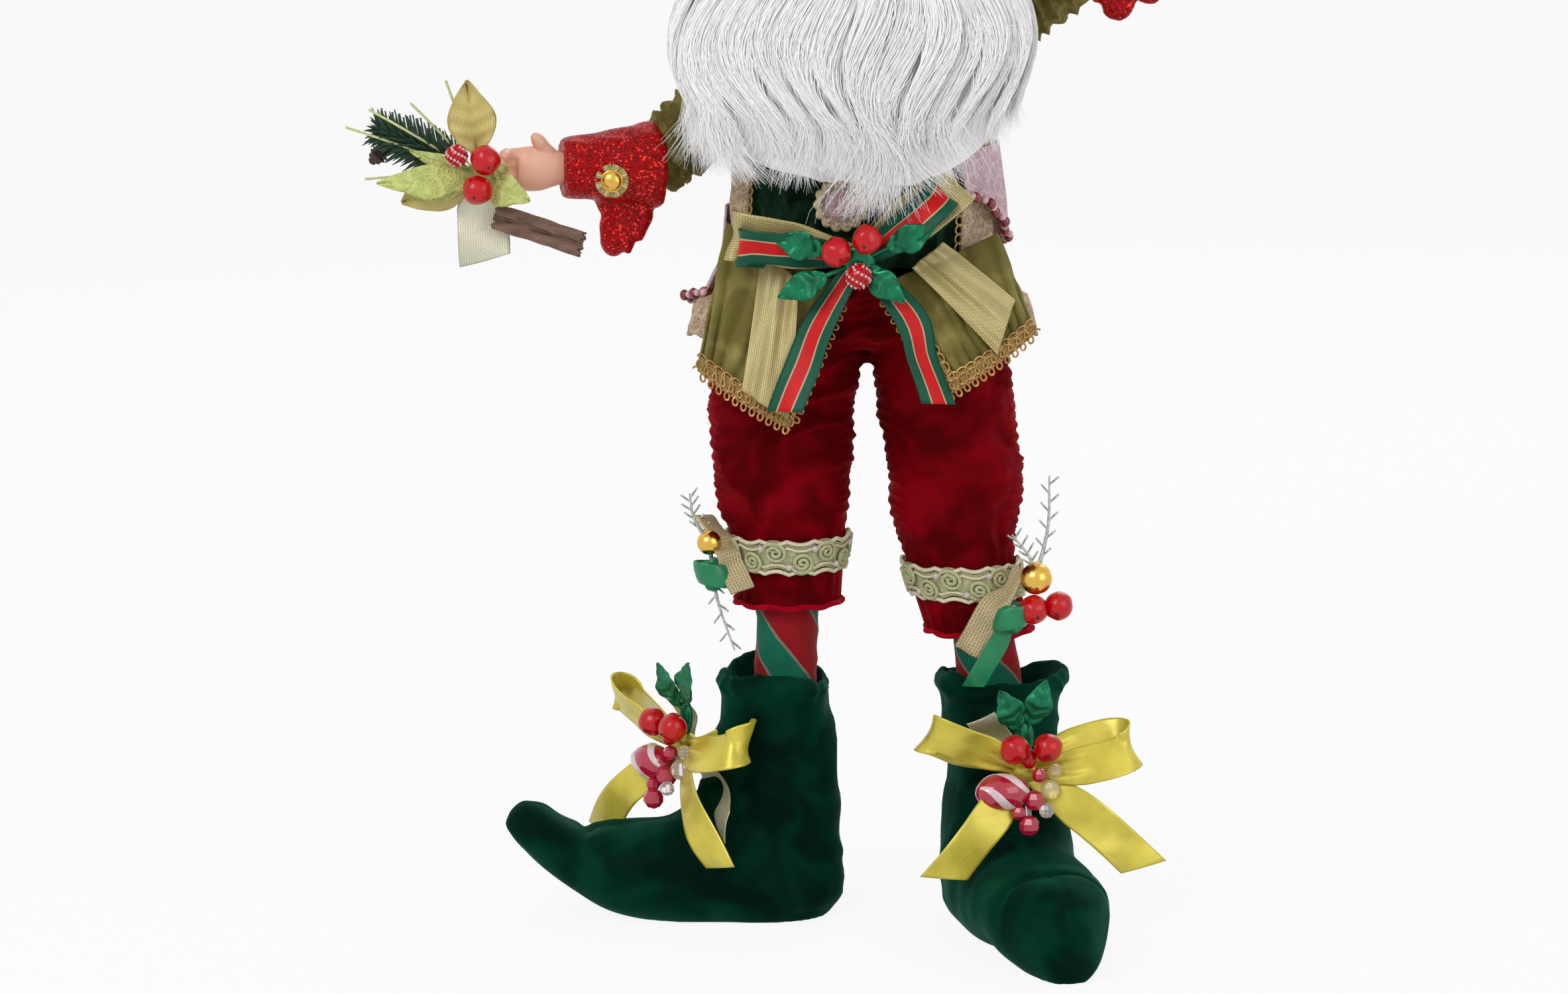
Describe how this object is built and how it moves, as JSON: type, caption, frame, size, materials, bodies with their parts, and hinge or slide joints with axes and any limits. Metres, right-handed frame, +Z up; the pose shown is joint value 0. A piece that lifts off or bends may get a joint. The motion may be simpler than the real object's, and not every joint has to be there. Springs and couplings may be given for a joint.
{
  "type": "elf figurine",
  "caption": "Standing cloth elf figurine with a long white beard, pointed hat, velvet breeches, striped stockings and curled velvet boots with satin bows.",
  "frame": {"origin": "on the floor, under the centre of the figurine's footprint", "axes": "+Z up, the figurine faces -Y, +X to the viewer's right"},
  "size_m": [0.3165, 0.1504, 0.5072],
  "materials": {
    "beard_mohair": "combed mohair",
    "berry_red": "gloss",
    "boot_velvet": "crushed velvet",
    "burlap": "open weave",
    "candy_acrylic": "clear gloss",
    "cinnamon_bark": "raw bark",
    "crimson_velvet": "crushed velvet",
    "gimp_cord": "gimp braid",
    "gold_braid": "metallic braid",
    "gold_mesh": "metallic gauze",
    "gold_metal": "polished",
    "green_satin": "satin",
    "holly_foil": "metallic foil cloth",
    "jewel_glass": "polished",
    "leaf_silk": "silk",
    "panel_sheer": "sheer organza",
    "peplum_cloth": "pleated",
    "pine_needles": "matt",
    "red_glitter": "glitter felt",
    "silver_twig": "silver",
    "skin_resin": "matt",
    "sleeve_velvet": "crinkled velvet",
    "stocking_knit": "striped knit",
    "striped_ribbon": "striped",
    "tunic_velvet": "pleated velvet",
    "vest_lace": "embroidered lace",
    "yellow_satin": "satin"
  },
  "bodies": {
    "root": {"beaded_panel_left": "panel_sheer", "beaded_panel_right": "panel_sheer", "beard": "beard_mohair", "boot_beads_left": "candy_acrylic", "boot_beads_right": "candy_acrylic", "boot_berries_left": "berry_red", "boot_berries_right": "berry_red", "boot_bow_left": "yellow_satin", "boot_bow_right": "yellow_satin", "boot_holly_left": "holly_foil", "boot_holly_right": "holly_foil", "boot_left": "boot_velvet", "boot_mesh_left": "gold_mesh", "boot_mesh_right": "gold_mesh", "boot_right": "boot_velvet", "button_left": "gold_metal", "button_right": "gold_metal", "cinnamon_stick": "cinnamon_bark", "cuff_left": "red_glitter", "cuff_right": "red_glitter", "flap_braid_left": "gold_braid", "flap_braid_right": "gold_braid", "flap_mesh_left": "gold_mesh", "flap_mesh_right": "gold_mesh", "hair": "beard_mohair", "hand_left": "skin_resin", "hand_right": "skin_resin", "hat": "crimson_velvet", "hat_band": "red_glitter", "hat_bell": "gold_metal", "head": "skin_resin", "jewel": "jewel_glass", "knee_bead_left": "gold_metal", "knee_bead_right": "gold_metal", "knee_berries": "berry_red", "knee_braid_left": "gimp_cord", "knee_braid_right": "gimp_cord", "knee_burlap_left": "burlap", "knee_burlap_right": "burlap", "knee_satin_left": "green_satin", "knee_satin_right": "green_satin", "knee_twigs_left": "silver_twig", "knee_twigs_right": "silver_twig", "peplum_flap_left": "peplum_cloth", "peplum_flap_right": "peplum_cloth", "pine_sprig": "pine_needles", "posy_berries": "berry_red", "posy_leaves": "leaf_silk", "posy_ribbon": "gold_mesh", "sleeve_left": "sleeve_velvet", "sleeve_right": "sleeve_velvet", "stocking_left": "stocking_knit", "stocking_right": "stocking_knit", "trousers": "crimson_velvet", "tunic": "tunic_velvet", "vest": "vest_lace", "waist_berries": "berry_red", "waist_bow": "striped_ribbon", "waist_holly": "holly_foil"}
  },
  "joints": []
}
